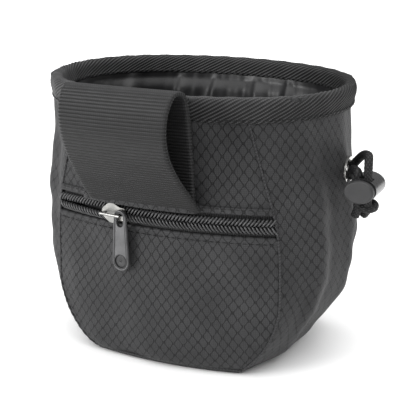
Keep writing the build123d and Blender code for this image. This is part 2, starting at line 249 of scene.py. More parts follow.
def diamond_ripstop(name, tones, depth):
    """Polyester ripstop with a diamond grid woven in: matt, each cell outlined by a dark channel
    and tied to the next one by a short light thread."""
    made, tree, shader = new_material(
        name, Roughness=0.6, Specular_IOR_Level=0.22, Sheen_Weight=0.05, Sheen_Roughness=0.5)
    coords = node(tree, "ShaderNodeUVMap", uv_map="cloth").outputs["UV"]
    # the grid wanders by up to 3 mm, as the cloth's threads do
    wander = node(tree, "ShaderNodeTexNoise", {"Vector": coords, "Scale": 0.035, "Detail": 1.0})
    drift = node(tree, "ShaderNodeVectorMath", {
        0: wander.outputs["Color"], 1: (3.0, 3.0, 0.0), 2: coords}, operation="MULTIPLY_ADD")
    split = node(tree, "ShaderNodeSeparateXYZ", {"Vector": drift.outputs["Vector"]})
    across = maths(tree, "COSINE", maths(tree, "MULTIPLY", split.outputs["X"], 2 * pi / CELL_W))
    up = maths(tree, "COSINE", maths(tree, "MULTIPLY", split.outputs["Y"], 2 * pi / CELL_H))
    net = maths(tree, "ADD", across, up)
    corner = maths(tree, "SUBTRACT", up, across)
    apart = maths(tree, "MULTIPLY_ADD", corner, -CELL_ROUND / 2, net)
    off_line = maths(tree, "DIVIDE", maths(tree, "ABSOLUTE", apart), LINE_W)
    line = maths(tree, "SUBTRACT", 1.0, off_line, use_clamp=True)
    meet = maths(tree, "MULTIPLY_ADD", maths(tree, "ABSOLUTE", corner), 4.0, -7.0, use_clamp=True)
    level = maths(tree, "DIVIDE", maths(tree, "ABSOLUTE", net), CELL_ROUND)
    tie = maths(tree, "MULTIPLY", meet, maths(tree, "SUBTRACT", 1.0, level, use_clamp=True))
    # thread spacing 0.3 mm is finer than the render shows, so the weave is drawn at 0.8 mm
    weave = maths(tree, "MULTIPLY", stripes(tree, coords, 0.8), stripes(tree, coords, 0.8, "Y"))
    cloudy = noise(tree, coords, 0.05, 4.0, 0.6)
    worn = noise(tree, coords, 0.11, 3.0, 0.6)
    tone = maths(tree, "MULTIPLY_ADD", cloudy, 0.55, 0.2)
    tone = maths(tree, "MULTIPLY_ADD", weave, 0.22, tone)
    faded = maths(tree, "MULTIPLY", line, maths(tree, "MULTIPLY_ADD", worn, -1.9, -0.1))
    tone = maths(tree, "ADD", tone, faded)
    tone = maths(tree, "MULTIPLY_ADD", tie, 0.6, tone, use_clamp=True)
    tree.links.new(ramp(tree, tone, tones), shader.inputs["Base Color"])
    height = maths(tree, "MULTIPLY_ADD", line, -1.0, maths(tree, "MULTIPLY", weave, 0.3))
    bump(tree, shader, height, 0.6, depth)
    return made


def ribbed_tape(name, tones, period, slope, depth):
    """Polyester tape woven in fine ribs, with painted light: each rib's crest is painted lighter
    as a highlight and the gap between ribs is painted dark as shade.
    """
    made, tree, shader = new_material(
        name, Roughness=0.55, Specular_IOR_Level=0.25, Sheen_Weight=0.05, Sheen_Roughness=0.4)
    coords = node(tree, "ShaderNodeUVMap", uv_map="cloth").outputs["UV"]
    turned = node(tree, "ShaderNodeMapping", {"Vector": coords, "Rotation": (0, 0, slope)})
    rib = stripes(tree, turned.outputs["Vector"], period)
    # threads lie 0.4 mm apart and are drawn twice as coarse, so that they show
    thread = stripes(tree, turned.outputs["Vector"], 0.85, "Y")
    cloudy = noise(tree, coords, 0.15)
    # painted light: rib crests are painted lighter as highlights and the gaps darker as shade, on
    # top of the ribs' bump
    tone = maths(tree, "MULTIPLY_ADD", rib, 0.62, maths(tree, "MULTIPLY", cloudy, 0.3))
    tone = maths(tree, "MULTIPLY_ADD", thread, 0.22, tone, use_clamp=True)
    tree.links.new(ramp(tree, tone, tones), shader.inputs["Base Color"])
    bump(tree, shader, maths(tree, "MULTIPLY_ADD", thread, 0.3, rib), 0.6, depth)
    return made


def coated_nylon(name, tones):
    """Thin coated taffeta: smooth and slightly shiny, so that every gather shows a soft gleam."""
    made, tree, shader = new_material(name, Specular_IOR_Level=0.5)
    place = node(tree, "ShaderNodeTexCoord").outputs["Object"]
    cloudy = noise(tree, place, 60.0, 4.0)
    tree.links.new(ramp(tree, cloudy, tones), shader.inputs["Base Color"])
    rough = node(tree, "ShaderNodeMapRange", {"Value": cloudy, "To Min": 0.34, "To Max": 0.5})
    tree.links.new(rough.outputs["Result"], shader.inputs["Roughness"])
    bump(tree, shader, noise(tree, place, 900.0, 2.0), 0.25, 0.00012)
    return made


def moulded(name, tones, low, high, grain, depth, **sockets):
    """Injection-moulded or plated part with a faintly uneven surface of a given grain."""
    made, tree, shader = new_material(name, **sockets)
    place = node(tree, "ShaderNodeTexCoord").outputs["Object"]
    fine = noise(tree, place, grain, 4.0)
    broad = noise(tree, place, 180.0, 2.0)
    tree.links.new(ramp(tree, broad, tones), shader.inputs["Base Color"])
    rough = node(tree, "ShaderNodeMapRange", {"Value": fine, "To Min": low, "To Max": high})
    tree.links.new(rough.outputs["Result"], shader.inputs["Roughness"])
    bump(tree, shader, fine, 0.3, depth)
    return made


def braided_cord(name, tones):
    """Polyester braid: crossing strands in a tight diamond, dull, with painted light: each
    crossing is painted lighter as a small highlight and the gaps between are painted dark as
    shade.
    """
    made, tree, shader = new_material(name, Roughness=0.55, Specular_IOR_Level=0.25)
    coords = node(tree, "ShaderNodeUVMap", uv_map="cloth").outputs["UV"]
    sides = []
    for turn in (radians(45), radians(-45)):
        turned = node(tree, "ShaderNodeMapping", {"Vector": coords, "Rotation": (0, 0, turn)})
        sides.append(stripes(tree, turned.outputs["Vector"], 1.0))
    crossing = maths(tree, "MULTIPLY", *sides)
    # painted light: the crossings are painted lighter as highlights and the gaps darker as shade,
    # as well as the braid's bump
    tone = maths(tree, "MULTIPLY_ADD", crossing, 0.9, 0.1)
    tree.links.new(ramp(tree, tone, tones), shader.inputs["Base Color"])
    bump(tree, shader, crossing, 0.7, 0.0003)
    return made


def make_materials():
    """The look of every material slot, and of the rolled cloth in the seams."""
    return {
        # ripstop with a woven diamond grid, piece dyed charcoal
        "outer_cloth": diamond_ripstop(
            "charcoal_diamond_ripstop",
            [(0.0, "#0c0c0d"), (0.3, "#1e1e1f"), (0.6, "#2d2d2e"), (1.0, "#454546")], 0.00025),
        # polyester binding with thick slanted ribs: crests painted bright as highlights, gaps
        # painted nearly black as shade
        "binding_tape": ribbed_tape(
            "ribbed_binding_tape_painted_rib_light",
            [(0.0, "#030303"), (0.5, "#0e0e0e"), (1.0, "#464647")], RIB_PITCH, RIB_SLOPE, 0.0004),
        # polyester webbing, ribbed across its length and dull, its rib crests painted lighter as
        # highlights and its gaps darker as shade
        "webbing": ribbed_tape(
            "ribbed_belt_webbing_painted_rib_light",
            [(0.0, "#040404"), (0.5, "#0f0f0f"), (1.0, "#2c2c2d")], WEB_RIB, radians(90), 0.0002),
        # close flat weave that the zip's rows are sewn to: dark and matt, with faint painted
        # highlights on its ribs and painted shade between them
        "zip_tape": ribbed_tape(
            "woven_zip_tape_painted_rib_light",
            [(0.0, "#0b0b0b"), (0.5, "#141415"), (1.0, "#1d1d1e")], 0.9, 0.0, 0.00015),
        # the same cloth as a lighter copy: a painted highlight along the rolled seam's ridge, with
        # painted rib light on it as well
        "seam_lip_painted_highlight": ribbed_tape(
            "rolled_ripstop_seam_painted_highlight",
            [(0.0, "#1c1c1d"), (0.5, "#272728"), (1.0, "#363637")], 1.3, 0.0, 0.0002),
        # thin nylon with a smooth coating: near black between its gleams
        "lining_nylon": coated_nylon("coated_nylon_taffeta", [(0.3, "#0c0c0d"), (0.7, "#161618")]),
        # nylon monofilament, wound warm: semi-gloss
        "zip_coil": moulded(
            "nylon_coil_filament", [(0.3, "#2a2a2b"), (0.7, "#3c3c3d")], 0.3, 0.42, 900, 0.00004),
        # zinc casting with bright nickel that a tumble finish has dulled
        "slider_metal": moulded(
            "dull_nickel_plate",
            [(0.3, "#7c7c7a"), (0.7, "#979693")], 0.3, 0.44, 700, 0.00004, Metallic=1.0),
        # zinc casting under a grey metallic lacquer
        "pull_tab_metal": moulded(
            "grey_metallic_lacquer",
            [(0.3, "#4c4c4d"), (0.7, "#5e5e5f")], 0.36, 0.5, 900, 0.00005, Metallic=0.6),
        # pressed brass with bright nickel: sharp highlights
        "eyelet_metal": moulded(
            "bright_nickel_eyelet",
            [(0.3, "#b0b0ae"), (0.7, "#d8d7d4")], 0.18, 0.3, 600, 0.00003, Metallic=1.0),
        # polyester braid with painted light: each crossing is painted as a small dull highlight
        "cord": braided_cord(
            "braided_polyester_cord_painted_highlights", [(0.0, "#080808"), (0.5, "#171718"), (1.0, "#343435")]),
        # acetal from a polished mould: a clear highlight along the barrel
        "lock_plastic": moulded(
            "polished_acetal",
            [(0.3, "#222223"), (0.7, "#2b2b2c")], 0.22, 0.32, 500, 0.00003, Coat_Weight=0.3),
        # acetal from a spark-eroded mould: fine matt grain
        "lock_button": moulded(
            "spark_textured_acetal",
            [(0.3, "#1d1d1e"), (0.7, "#252526")], 0.5, 0.62, 1600, 0.00012),
        # extruded polyethylene: waxy, half matt
        "stiffener": moulded(
            "extruded_polyethylene_strip",
            [(0.3, "#1c1c1c"), (0.7, "#262626")], 0.4, 0.55, 800, 0.00005),
        # drawn steel wire: smooth along its length
        "spring_steel": moulded(
            "drawn_spring_wire",
            [(0.3, "#8a8a88"), (0.7, "#a5a5a2")], 0.25, 0.35, 900, 0.00002, Metallic=1.0),
    }


def paper_floor(name):
    """Matt white studio paper with the faint mottle of its fibres."""
    made, tree, shader = new_material(name, Roughness=0.9)
    place = node(tree, "ShaderNodeTexCoord").outputs["Object"]
    tone = ramp(tree, noise(tree, place, 8.0), [(0.3, "#f6f6f6"), (0.7, "#fafafa")])
    tree.links.new(tone, shader.inputs["Base Color"])
    return made


# ------------------------------------------------------------------ meshes

def add_piece(name, mesh, slot, *replaced, body="pouch"):
    """Piece that rides on a body and stands for the CAD nodes in replaced.

    mesh is points in millimetres, quads, and one texture coordinate for each corner of a quad."""
    points, quads, coords = mesh
    data = bpy.data.meshes.new(name)
    data.from_pydata((points * MM).tolist(), [], quads.tolist())
    data.polygons.foreach_set("use_smooth", [True] * len(data.polygons))
    layer = data.uv_layers.new(name="cloth")
    layer.data.foreach_set("uv", np.asarray(coords, float).ravel())
    data.materials.append(materials[slot])
    data.update()
    obj = bpy.data.objects.new(name, data)
    bpy.context.collection.objects.link(obj)
    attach(obj, body)
    if replaced:
        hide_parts(*replaced)
    return obj


def distance(line):
    """Distance along a line of points, at each of them."""
    return np.concatenate([[0], np.cumsum(np.linalg.norm(np.diff(line, axis=0), axis=1))])


def even(line, gap):
    """The same line, read every gap of its length, and that length."""
    run = distance(line)
    spots = np.linspace(0, run[-1], int(run[-1] / gap) + 1)
    return np.stack([np.interp(spots, run, axis) for axis in line.T], -1), run[-1]


def closed(grid):
    """Its first column once more at the end."""
    return np.concatenate([grid, grid[:, :1]], 1)


def skin(loops, u, v, ring=False, caps=True):
    """Quads that skin closed loops: loops[i, k] is point k of section i.

    u and v give each point's texture coordinates, with one more row of u for a ring and
    one more column of v than there are points. Returns points, quads, coordinates."""
    n, m = loops.shape[:2]
    rows = np.arange(n if ring else n - 1)
    i, k = [a.ravel() for a in np.meshgrid(rows, np.arange(m), indexing="ij")]
    i2, k2 = (i + 1) % n, (k + 1) % m
    quads = np.stack([i * m + k, i2 * m + k, i2 * m + k2, i * m + k2], -1)
    corners = [(i, k), (i + 1, k), (i + 1, k + 1), (i, k + 1)]
    coords = np.stack([np.stack([u[a, b], v[a % n, b]], -1) for a, b in corners], 1)
    if caps and not ring:
        half = np.arange(m // 2 - 1)
        for row, turn in ((0, 1), (n - 1, -1)):
            cap = row * m + np.stack([half, half + 1, m - 2 - half, m - 1 - half], -1)[:, ::turn]
            spot = np.stack([u[row, half], v[row, half]], -1)
            quads = np.concatenate([quads, cap])
            coords = np.concatenate([coords, np.repeat(spot[:, None], 4, axis=1)])
    return loops.reshape(-1, 3), quads, coords


def joined(parts):
    """Several skins as one."""
    points, quads, coords, start = [], [], [], 0
    for p, q, c in parts:
        points.append(p)
        quads.append(q + start)
        coords.append(c)
        start += len(p)
    return np.concatenate(points), np.concatenate(quads), np.concatenate(coords)


def tube(path, radius, sides=10, ring=False, relief=None):
    """Round tube along points. radius is a number or one for each point."""
    n = len(path)
    ahead, behind = np.roll(path, -1, 0), np.roll(path, 1, 0)
    if not ring:
        ahead[-1], behind[0] = path[-1], path[0]
    along = ahead - behind
    along /= np.linalg.norm(along, axis=1)[:, None]
    side = np.cross(along[0], (0.0, 0.0, 1.0) if abs(along[0][2]) < 0.9 else (0.0, 1.0, 0.0))
    frames = []
    for direction in along:
        side = side - direction * (side @ direction)
        side = side / np.linalg.norm(side)
        frames.append(side)
    side = np.array(frames)
    other = np.cross(along, side)
    angle = np.linspace(0, 2 * pi, sides, endpoint=False)
    size = np.broadcast_to(np.asarray(radius, float).reshape(-1, 1), (n, sides)).copy()
    step = np.linalg.norm(np.diff(path, axis=0, append=path[:1]), axis=1)
    length = np.concatenate([[0], np.cumsum(step)])
    if relief is not None:
        size = size + relief(length[:n, None], angle[None, :])
    c, s = np.cos(angle)[None, :, None], np.sin(angle)[None, :, None]
    loops = path[:, None] + size[..., None] * (side[:, None] * c + other[:, None] * s)
    u = np.repeat(length[:, None], sides + 1, axis=1)
    around = np.append(angle, 2 * pi)[None, :] * float(np.mean(radius))
    v = np.repeat(around, n + 1, axis=0)
    return skin(loops, u, v, ring=ring, caps=sides % 2 == 0)


def stitches(path, pitch, length, radius):
    """Row of thread stitches that lie along points."""
    run = distance(path)
    parts = []
    for start in np.arange(pitch / 2, run[-1] - length, pitch):
        spots = np.linspace(start, start + length, 5)
        line = np.stack([np.interp(spots, run, axis) for axis in path.T], -1)
        parts.append(tube(line, radius * np.array([0.45, 0.9, 1.0, 0.9, 0.45]), 6))
    return joined(parts)


def smooth_line(knots, count):
    """Smooth curve through a few points, evenly read at count places."""
    knots = np.array(knots, float)
    place = distance(knots)
    return hermite(place, knots, np.linspace(0, place[-1], count))


def hermite(place, values, at):
    """Values at places between knots, with slopes from their neighbours."""
    slopes = np.gradient(values, place, axis=0)
    i = np.clip(np.searchsorted(place, at, side="right") - 1, 0, len(place) - 2)
    gap = (place[i + 1] - place[i])[..., None]
    t = (at - place[i])[..., None] / gap
    start, end = values[i], values[i + 1]
    return (
        (1 + 2 * t) * (1 - t) ** 2 * start + t * (1 - t) ** 2 * gap * slopes[i]
        + t * t * (3 - 2 * t) * end + t * t * (t - 1) * gap * slopes[i + 1]
    )


# ------------------------------------------------------------------ the wall's surface

def wall(side, t, z, out=0.0):
    """Points on one side of the pouch and their distance from its middle round the wall.

    t runs from -1 to 1 along the side, anticlockwise from above."""
    t, z, out = np.broadcast_arrays(*[np.asarray(value, float) for value in (t, z, out)])
    section = hermite(STATIONS[:, 0], STATIONS[:, 1:], np.clip(z, 0, HEIGHT))
    a, b, s, r = np.moveaxis(section, -1, 0)
    depth = b - r + np.sqrt(r * r - s * s)
    side_r = (depth ** 2 + (a - s) ** 2) / (2 * (a - s))
    nx = s / r + (s - a + side_r) / side_r
    ny = (depth - b + r) / r + depth / side_r
    k = 2 * out / (nx ** 2 + ny ** 2)
    x, y = s + k * nx, depth + k * ny
    tip, half, rise = b + out, x, b + out - y
    if side in ("left", "right"):
        tip, half, rise = a + out, y, a + out - x
    radius = (half ** 2 + rise ** 2) / (2 * rise)
    angle = t * np.arcsin(half / radius)
    across, away = radius * np.sin(angle), tip - radius + radius * np.cos(angle)
    place = {
        "front": (across, -away), "right": (away, across),
        "back": (-across, away), "left": (-away, -across),
    }[side]
    return np.stack([*place, z], -1), radius * angle


SIDES = ("front", "right", "back", "left")


def ring(z, out, counts):
    """Closed rings round the wall, one for each z and out.

    counts are the points on the front or the back, and on the left or the right."""
    runs = []
    for i, side in enumerate(SIDES):
        t = np.linspace(-1, 1, counts[i % 2], endpoint=False)
        runs.append(wall(side, t[:, None], z, out)[0])
    return np.concatenate(runs, 0)


def ring_distance(loop):
    """Distance along a closed ring of points, with the whole length at the end."""
    step = np.linalg.norm(np.roll(loop, -1, 0) - loop, axis=1)
    return np.concatenate([[0], np.cumsum(step)])


def bell(x, middle, width):
    """1 at the middle, falling smoothly to nothing within two widths."""
    return np.exp(-((x - middle) / width) ** 2)


def waves(x, terms):
    """Sum of sines: each term is a size, a length and a shift."""
    total = 0.0
    for size, length, shift in terms:
        total = total + size * np.sin(2 * pi * x / length + shift)
    return total


def near_seam(u, z, edge, depth, reach, pitch, shift):
    """Groove along both seams of a side, with small puckers across it."""
    gap = edge - np.abs(u)
    groove = -0.28 * bell(gap, 0, 0.8)
    pucker = depth * bell(gap, 0, reach) * np.sin(2 * pi * z / pitch + shift + np.sign(u))
    return groove + pucker


def front_relief(u, z, edge):
    """How far the front or back cloth stands off its mean surface."""
    held = np.clip((edge - np.abs(u)) / 10, 0, 1)
    soft = waves(u + 0.35 * z, [(0.5, 43, 0.4), (0.3, 27, 1.9)])
    soft = soft + waves(z - 0.2 * u, [(0.4, 38, 0.9)])
    return soft * held + near_seam(u, z, edge, 0.2, 3.5, 3.4, 0.0)


def side_relief(u, z, edge, seed):
    """Soft upright folds of a side panel, which fade out at the seams."""
    held = np.clip((edge - np.abs(u)) / 12, 0, 1)
    lean = u + 0.12 * (z - 60) + 2.2 * np.sin(z / 17 + seed)
    fold = waves(lean, [(1.1, 31, seed), (0.7, 19, 2.1 + seed), (0.35, 11.5, 0.7 + seed)])
    fold = fold + waves(z + 0.5 * u, [(0.45, 33, 1.2 + seed), (0.3, 14, seed)])
    level = 0.35 + 0.65 * np.sin(np.clip(z / 95, 0, 1) * pi)
    return fold * held * level + near_seam(u, z, edge, 0.25, 4.0, 3.1, 1.0)


def panel(side, profile, across, relief):
    """Closed shell of cloth on one side, across points wide.

    profile is the outer face's z and out, bottom to top."""
    z, out = np.array(profile, float).T
    t = np.linspace(-1, 1, across)[:, None]
    u = wall(side, t, z, 0.0)[1]
    edge = np.abs(u).max(axis=0)[None]
    out = out + relief(u, z[None], edge)
    face = wall(side, t, z, out)[0]
    back = wall(side, t, z[::-1], out[:, ::-1] - CLOTH)[0]
    us = closed(np.concatenate([u, u[:, ::-1]], 1))
    zs = np.repeat(np.concatenate([z, z[::-1], z[:1]])[None], across, axis=0)
    return skin(np.concatenate([face, back], 1), us, zs)


def levels(low, high):
    """Profile of a panel with a row of points about every millimetre."""
    z = np.linspace(low, high, int((high - low) / 1.1) + 2)
    return np.stack([z, np.zeros_like(z)], -1)


def folded(low, high, end):
    """Profile of a panel whose cloth is turned in at one end of its height."""
    turn_r = 0.55
    turn = np.linspace(0, pi / 2, 7)[1:]
    drop, back = turn_r * np.sin(turn), -turn_r * (1 - np.cos(turn))
    if end == "low":
        return np.concatenate([np.stack([low - drop, back], -1)[::-1], levels(low, high)])
    return np.concatenate([levels(low, high), np.stack([high + drop, back], -1)])


def front_with_fold(fold_z, crease_z):
    """Front cloth's relief, with the stitched crease beside a fold."""
    def relief(u, z, edge):
        bulge = 0.35 * bell(z, fold_z, 1.3) - 0.4 * bell(z, crease_z, 0.5)
        return front_relief(u, z, edge) * np.clip(np.abs(z - fold_z) / 8, 0.15, 1) + bulge
    return relief


def cloth_body():
    """The front above and below the zip, the back, and the one strip that makes both sides."""
    above, below = ZIP_Z + WINDOW, ZIP_Z - WINDOW
    upper = panel("front", folded(above + 0.5, HEIGHT, "low"), 130,
                  front_with_fold(above + 1, above + 3.2))
    add_piece("front_upper_cloth", upper, "outer_cloth", "front_upper_panel")
    lower = panel("front", folded(BASE_SEAM, below - 0.5, "high"), 130,
                  front_with_fold(below - 1, below - 3))
    add_piece("front_lower_cloth", lower, "outer_cloth", "front_lower_panel")
    back = panel("back", levels(BASE_SEAM, HEIGHT), 110, front_relief)
    add_piece("back_cloth", back, "outer_cloth", "back_panel")
    strip = []
    for side, seed in (("right", 0.6), ("left", 2.4)):
        def relief(u, z, edge):
            return side_relief(u, z, edge, seed)
        strip.append(panel(side, levels(BASE_SEAM, HEIGHT), 120, relief))
    strip.append(base_shell())
    add_piece("gusset_cloth", joined(strip), "outer_cloth", "gusset")


def shrunk(rim, steps):
    """Rings that close a flat floor inside a rim of points, down to its middle."""
    scale = np.linspace(1, 0.0005, steps)[1:, None]
    return rim[:, None] * np.concatenate([scale, scale, scale * 0], 1)[None]


def base_shell():
    """The strip round the foot and the flat base it turns into."""
    foot = ring(np.linspace(BASE_SEAM, 0, 5), np.zeros(5), (60, 40))
    flat = shrunk(foot[:, -1], 22)
    flat[..., 2] = 0.25 * np.sin(np.linspace(0, pi, 21))[None]
    outer = np.concatenate([foot, flat], 1)
    inner = outer[:, ::-1] * np.array([0.985, 0.985, 1.0]) + np.array([0, 0, CLOTH])
    inner[:, 21:, 2] = np.maximum(inner[:, 21:, 2] - CLOTH * 0.2, CLOTH)
    loops = np.concatenate([outer, inner], 1)
    u, v = closed(loops[..., 0]), closed(loops[..., 1])
    return skin(loops, np.concatenate([u, u[:1]]), v, ring=True)


def seams():
    """Raised lips where the front and the back are sewn to the sides, and along their feet."""
    parts = []
    for side in ("front", "back"):
        for end in (-1, 1):
            z = np.linspace(BASE_SEAM, RIM_LOW + 2, 260)
            stitch = 2 * pi * z / STITCH
            line = wall(side, end, z, -0.12 + 0.05 * np.sin(stitch))[0]
            parts.append(tube(line, 0.44 + 0.05 * np.sin(stitch + end), 8))
        t = np.linspace(-1, 1, 120)
        line = wall(side, t, BASE_SEAM, 0.1)[0]
        parts.append(tube(line, 0.4 + 0.05 * np.sin(t * 90), 8))
    obj = add_piece("seam_lips", joined(parts), "outer_cloth")
    # the lips get the lighter seam copy of the cloth: a painted highlight along each seam
    obj.data.materials[0] = materials["seam_lip_painted_highlight"]


# ------------------------------------------------------------------ rim, lining and what they hide

# out and z of the binding's visible face, from its outer edge over the rim to its inner one
BINDING_OUTER = [
    (0.25, 104.0), (0.7, 104.15), (0.85, 104.7), (0.75, 105.7), (0.9, 107.4), (1.1, 109.2),
    (1.0, 110.8), (0.65, 112.1), (0.1, 112.9), (-0.6, 113.3), (-1.3, 113.45), (-2.1, 113.4),
    (-2.8, 113.2), (-3.5, 112.7), (-3.95, 111.9), (-4.15, 110.6), (-4.2, 109.0),
    (-4.25, 107.6), (-4.35, 106.8), (-4.15, 106.3), (-3.8, 106.2),
]
BINDING_T = 0.75          # thickness of the tape


def binding():
    """Tape rolled over the rim. Its ribs run aslant, and two lines of stitches hold its edges."""
    outer = smooth_line(BINDING_OUTER, 46)
    out, z = outer.T
    counts = (340, 300)
    length = ring_distance(ring(z, out, counts)[:, 10])
    here, run = length[:-1, None], distance(outer)
    phase = here * cos(RIB_SLOPE) - run[None] * sin(RIB_SLOPE)
    ribs = 0.16 * np.sin(2 * pi * phase / RIB_PITCH)
    puffs = 0.1 * np.sin(2 * pi * here / 9.7 + 0.6 * np.sin(here / 21))
    normal = line_normal(outer, run)
    face = moved_ring(z, out, ribs + puffs, normal, counts)
    inner = moved_ring(z, out, np.full_like(ribs, -BINDING_T), normal, counts)[:, ::-1]
    loops = np.concatenate([face, inner], 1)
    u = np.repeat(length[:, None], loops.shape[1] + 1, axis=1)
    v = np.repeat(np.concatenate([run, run[::-1], run[:1]])[None], len(loops), axis=0)
    add_piece("rim_binding_tape", skin(loops, u, v, ring=True), "binding_tape", "rim_binding")


def line_normal(line, run):
    """Unit normals of a plane line, to the right of its direction."""
    normal = np.stack([np.gradient(line[:, 1], run), -np.gradient(line[:, 0], run)], -1)
    return normal / np.linalg.norm(normal, axis=1)[:, None]


def moved_ring(z, out, push, normal, counts):
    """Rings moved by push along their section's normal."""
    runs, start = [], 0
    for i, side in enumerate(SIDES):
        t = np.linspace(-1, 1, counts[i % 2], endpoint=False)
        rows = push[start:start + len(t)]
        start += len(t)
        moved_z = z + rows * normal[:, 1]
        runs.append(wall(side, t[:, None], moved_z, out + rows * normal[:, 0])[0])
    return np.concatenate(runs, 0)


def binding_stitches():
    """One row of stitches along the binding's outer edge and one along its inner edge."""
    parts = []
    for z, out in ((105.1, 1.0), (107.2, -4.35)):
        line = ring(np.array([z]), np.array([out]), (200, 160))[:, 0]
        parts.append(stitches(np.concatenate([line, line[:1]]), 3.0, 2.1, 0.24))
    add_piece("binding_stitches", joined(parts), "cord")


# places round the lining's ring, as parts of its length, and the width of each deep gather
GATHERS = [
    (0.04, 0.018), (0.13, 0.02), (0.22, 0.018), (0.31, 0.022), (0.4, 0.016), (0.47, 0.02),
    (0.545, 0.016), (0.6, 0.02), (0.665, 0.016), (0.72, 0.02), (0.79, 0.018), (0.86, 0.022),
    (0.93, 0.018),
]


def lining_relief(part, z):
    """Gathers of the lining: sharp at the binding's stitches, wider and deeper lower down."""
    drop = np.clip((RIM_LOW + 2.4 - z) / 26, 0, 1)
    total = 0.0
    for place, width in GATHERS:
        away = (part - place + 0.5) % 1.0 - 0.5
        lean = 0.006 * sin(place * 40) * drop
        spread = width * (0.3 + 0.7 * drop)
        total = total + 3.6 * bell(away, lean, spread) * drop ** 0.7
    fine = waves(part, [(0.2, 1 / 47, 0.3), (0.12, 1 / 71, 1.7), (0.3, 1 / 19, 2.9)])
    settled = np.clip(z / 25, 0, 1)
    return (fine * (0.2 + drop) - total) * settled


def lining():
    """Thin bag from under the binding down to its own floor."""
    foot = 6.0
    z = np.concatenate([np.linspace(108.5, 103, 8), np.linspace(102, foot, 74)])
    below = np.interp(z, [30, 100, 103], [LINING, LINING, RIM_LINING + 0.3])
    hang = np.where(z > 103, RIM_LINING, below)
    counts = (220, 180)
    length = ring_distance(ring(z, -hang, counts)[:, 20])
    relief = lining_relief(length[:-1, None] / length[-1], z[None])
    inner = moved_ring(z, -hang, relief, np.tile([1.0, 0.0], (len(z), 1)), counts)
    flat = shrunk(inner[:, -1], 16)
    flat[..., 2] = foot - 1.5 * np.sin(np.linspace(0, pi / 2, 15))[None]
    seen = np.concatenate([inner, flat], 1)
    hidden = seen[:, ::-1] * np.array([1.006, 1.006, 1.0]) + np.array([0, 0, -0.35])
    loops = np.concatenate([hidden, seen], 1)
    u = np.repeat(length[:, None], loops.shape[1] + 1, axis=1)
    mesh = skin(loops, u, closed(loops[..., 2]), ring=True)
    add_piece("gathered_lining", mesh, "lining_nylon", "inner_lining")


def pocket_cloth():
    """Rear cloth of the zipped pocket, hanging behind the zip."""
    z = np.linspace(22, 76, 40)
    t = np.linspace(-0.78, 0.78, 60)[:, None]
    ripple = 0.12 * np.sin(t * 21 + z[None] / 9)
    face, u = wall("front", t, z, -3.4 + ripple)
    rear = wall("front", t, z[::-1], -3.8 + ripple[:, ::-1])[0]
    loops = np.concatenate([face, rear], 1)
    us = closed(np.concatenate([u, u[:, ::-1]], 1))
    zs = np.repeat(np.concatenate([z, z[::-1], z[:1]])[None], len(t), axis=0)
    add_piece("pocket_cloth", skin(loops, us, zs), "lining_nylon", "zip_pocket_bag")


def braid(s, a):
    """Relief of a cord's crossing strands, from the place along it and round it."""
    return 0.1 * np.cos(3 * a + s * 1.9) * np.cos(3 * a - s * 1.9) - 0.05


def channel_path():
    """The drawcord's closed oval inside the pouch."""
    low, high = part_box("drawcord_channel")
    height = (low[2] + high[2]) / 2 / MM
    channel_r = (high[2] - low[2]) / 2 / MM
    turn = np.linspace(0, 2 * pi, 420, endpoint=False)
    squareness = 0.86         # 1 would be an ellipse
    x, y = [
        (reach / MM - channel_r) * np.sign(wave) * np.abs(wave) ** squareness
        for reach, wave in ((high[0], np.cos(turn)), (high[1], np.sin(turn)))
    ]
    return np.stack([x, y, np.full_like(x, height)], -1)


def hidden_cord():
    """The drawcord's loop in its sleeve, and the two runs from it to the eyelet."""
    path = channel_path()
    parts = [tube(path, CORD_D / 2, 20, ring=True, relief=braid)]
    for route in (UPPER_ROUTE, LOWER_ROUTE):
        _, y, z = route[0]
        run = np.array([(path[:, 0].max() - 0.5, y, z), (LEAD_END, y, z)])
        parts.append(tube(even(run, CORD_STEP)[0], CORD_D / 2, 20, relief=braid))
    add_piece("drawcord_hidden_loop", joined(parts), "cord", "drawcord_in_channel")


def channel_sleeve():
    """Narrow sleeve of lining cloth round the drawcord, puckered along its stitches."""
    def pucker(s, a):
        return 0.22 * np.sin(2 * pi * s / 6.3 + 1.4 * np.sin(a)) + 0.1 * np.sin(s * 2.9)
    sleeve = tube(channel_path(), CORD_SLEEVE, 20, ring=True, relief=pucker)
    add_piece("drawcord_sleeve", sleeve, "lining_nylon", "drawcord_channel")


# ------------------------------------------------------------------ zip

def parted(x):
    """Half the gap between the two rows of turns: open left of the slider, closed right of it."""
    gap = np.interp(x, [-47, SLIDER_X - 4, SLIDER_X], [0.25, 0.95, 1.0])
    return np.where(x < SLIDER_X + 1, gap, 0.0)


def zip_line(x, rise, out):
    """Points on the front at the zip: x across, rise above its middle line."""
    x, rise, out = np.broadcast_arrays(x, rise, out)
    angle, reach = x / ZIP_R, ZIP_R + out
    y = ZIP_R - ZIP_FACE - reach * np.cos(angle)
    return np.stack([reach * np.sin(angle), y, ZIP_Z + rise], -1)


def zip_tape(side):
    """One of the zip's two tapes, from its row of turns to where it is sewn under the cloth."""
    near, far, face_out, rear_out = 0.7, 11.5, -1.3, -1.85
    x = np.linspace(-ZIP_END - 0.5, ZIP_END + 0.5, 150)[:, None]
    rise = np.linspace(near, far, 24)[None]
    rise = rise + parted(x) * np.clip(1 - (rise - near) / 7, 0, 1)
    face = zip_line(x, side * rise, face_out)
    rear = zip_line(x, side * rise[:, ::-1], rear_out)
    loops = np.concatenate([face, rear], 1)[:, ::side]
    u = np.repeat(x, loops.shape[1] + 1, 1)
    return skin(loops, u, closed(loops[..., 2]))


